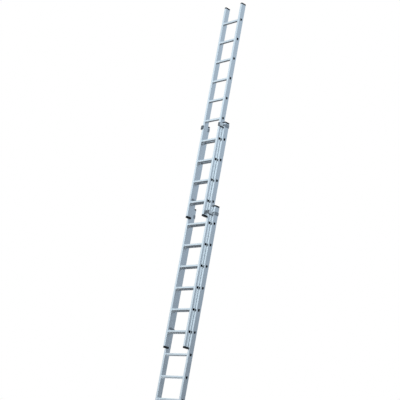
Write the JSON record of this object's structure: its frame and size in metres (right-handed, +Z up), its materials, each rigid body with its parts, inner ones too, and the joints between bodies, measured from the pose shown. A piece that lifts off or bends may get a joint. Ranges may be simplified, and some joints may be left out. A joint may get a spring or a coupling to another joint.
{
  "type": "extension ladder",
  "caption": "Push-up aluminium extension ladder of nested box-stile sections with hollow D rungs, guide brackets, pivoting rung hooks, end caps and rubber feet.",
  "frame": {"origin": "on the ground under the middle of the ladder's width and depth", "axes": "+Z up along the stiles, +X to the climber's right, +Y to the wall side; the climbing side is -Y"},
  "size_m": [0.4812, 0.2022, 5.763],
  "materials": {
    "stile_aluminium": "mill finish extrusion, fine lines along its length",
    "rung_aluminium": "mill finish extrusion with a ribbed tread",
    "bracket_aluminium": "bent sheet, dull satin",
    "cap_plastic": "moulded, lightly textured",
    "guide_nylon": "dark grey moulded nylon, polished by sliding",
    "foot_rubber": "dull, grooved sole",
    "hook_steel": "zinc-plated plate, satin"
  },
  "bodies": {
    "base": {"base_stile_left": "stile_aluminium", "base_top_cap_left": "cap_plastic", "base_rubber_foot_left": "foot_rubber", "base_guide_bracket_left": "bracket_aluminium", "base_guide_liner_left": "guide_nylon", "base_stile_right": "stile_aluminium", "base_top_cap_right": "cap_plastic", "base_rubber_foot_right": "foot_rubber", "base_guide_bracket_right": "bracket_aluminium", "base_guide_liner_right": "guide_nylon", "base_rung_01": "rung_aluminium", "base_rung_02": "rung_aluminium", "base_rung_03": "rung_aluminium", "base_rung_04": "rung_aluminium", "base_rung_05": "rung_aluminium", "base_rung_06": "rung_aluminium", "base_rung_07": "rung_aluminium", "base_rung_08": "rung_aluminium", "base_rung_09": "rung_aluminium", "base_rung_10": "rung_aluminium"},
    "mid": {"mid_stile_left": "stile_aluminium", "mid_top_cap_left": "cap_plastic", "mid_end_shoe_left": "cap_plastic", "mid_guide_bracket_left": "bracket_aluminium", "mid_guide_liner_left": "guide_nylon", "mid_stile_right": "stile_aluminium", "mid_top_cap_right": "cap_plastic", "mid_end_shoe_right": "cap_plastic", "mid_guide_bracket_right": "bracket_aluminium", "mid_guide_liner_right": "guide_nylon", "mid_rung_01": "rung_aluminium", "mid_rung_02": "rung_aluminium", "mid_rung_03": "rung_aluminium", "mid_rung_04": "rung_aluminium", "mid_rung_05": "rung_aluminium", "mid_rung_06": "rung_aluminium", "mid_rung_07": "rung_aluminium", "mid_rung_08": "rung_aluminium", "mid_rung_09": "rung_aluminium", "mid_rung_10": "rung_aluminium"},
    "top": {"top_stile_left": "stile_aluminium", "top_top_cap_left": "cap_plastic", "top_end_shoe_left": "cap_plastic", "top_stile_right": "stile_aluminium", "top_top_cap_right": "cap_plastic", "top_end_shoe_right": "cap_plastic", "top_rung_01": "rung_aluminium", "top_rung_02": "rung_aluminium", "top_rung_03": "rung_aluminium", "top_rung_04": "rung_aluminium", "top_rung_05": "rung_aluminium", "top_rung_06": "rung_aluminium", "top_rung_07": "rung_aluminium", "top_rung_08": "rung_aluminium", "top_rung_09": "rung_aluminium", "top_rung_10": "rung_aluminium"},
    "mid_hook_left": {"mid_rung_hook_left": "hook_steel"},
    "mid_hook_right": {"mid_rung_hook_right": "hook_steel"},
    "top_hook_left": {"top_rung_hook_left": "hook_steel"},
    "top_hook_right": {"top_rung_hook_right": "hook_steel"}
  },
  "joints": [
    {"name": "mid_slide", "type": "slide", "parent": "base", "child": "mid", "axis": [0, 0, 1], "range_m": [-1.117, 0.56]},
    {"name": "top_slide", "type": "slide", "parent": "mid", "child": "top", "axis": [0, 0, 1], "range_m": [-1.68, 0]},
    {"name": "mid_hook_left_pivot", "type": "hinge", "parent": "mid", "child": "mid_hook_left", "pos_m": [-0.1693, 0.0034, 1.374], "axis": [1, 0, 0], "range_deg": [0, 70]},
    {"name": "mid_hook_right_pivot", "type": "hinge", "parent": "mid", "child": "mid_hook_right", "pos_m": [0.1693, 0.0034, 1.374], "axis": [1, 0, 0], "range_deg": [0, 70]},
    {"name": "top_hook_left_pivot", "type": "hinge", "parent": "top", "child": "top_hook_left", "pos_m": [-0.1349, -0.054, 3.051], "axis": [1, 0, 0], "range_deg": [0, 70]},
    {"name": "top_hook_right_pivot", "type": "hinge", "parent": "top", "child": "top_hook_right", "pos_m": [0.1349, -0.054, 3.051], "axis": [1, 0, 0], "range_deg": [0, 70]}
  ]
}
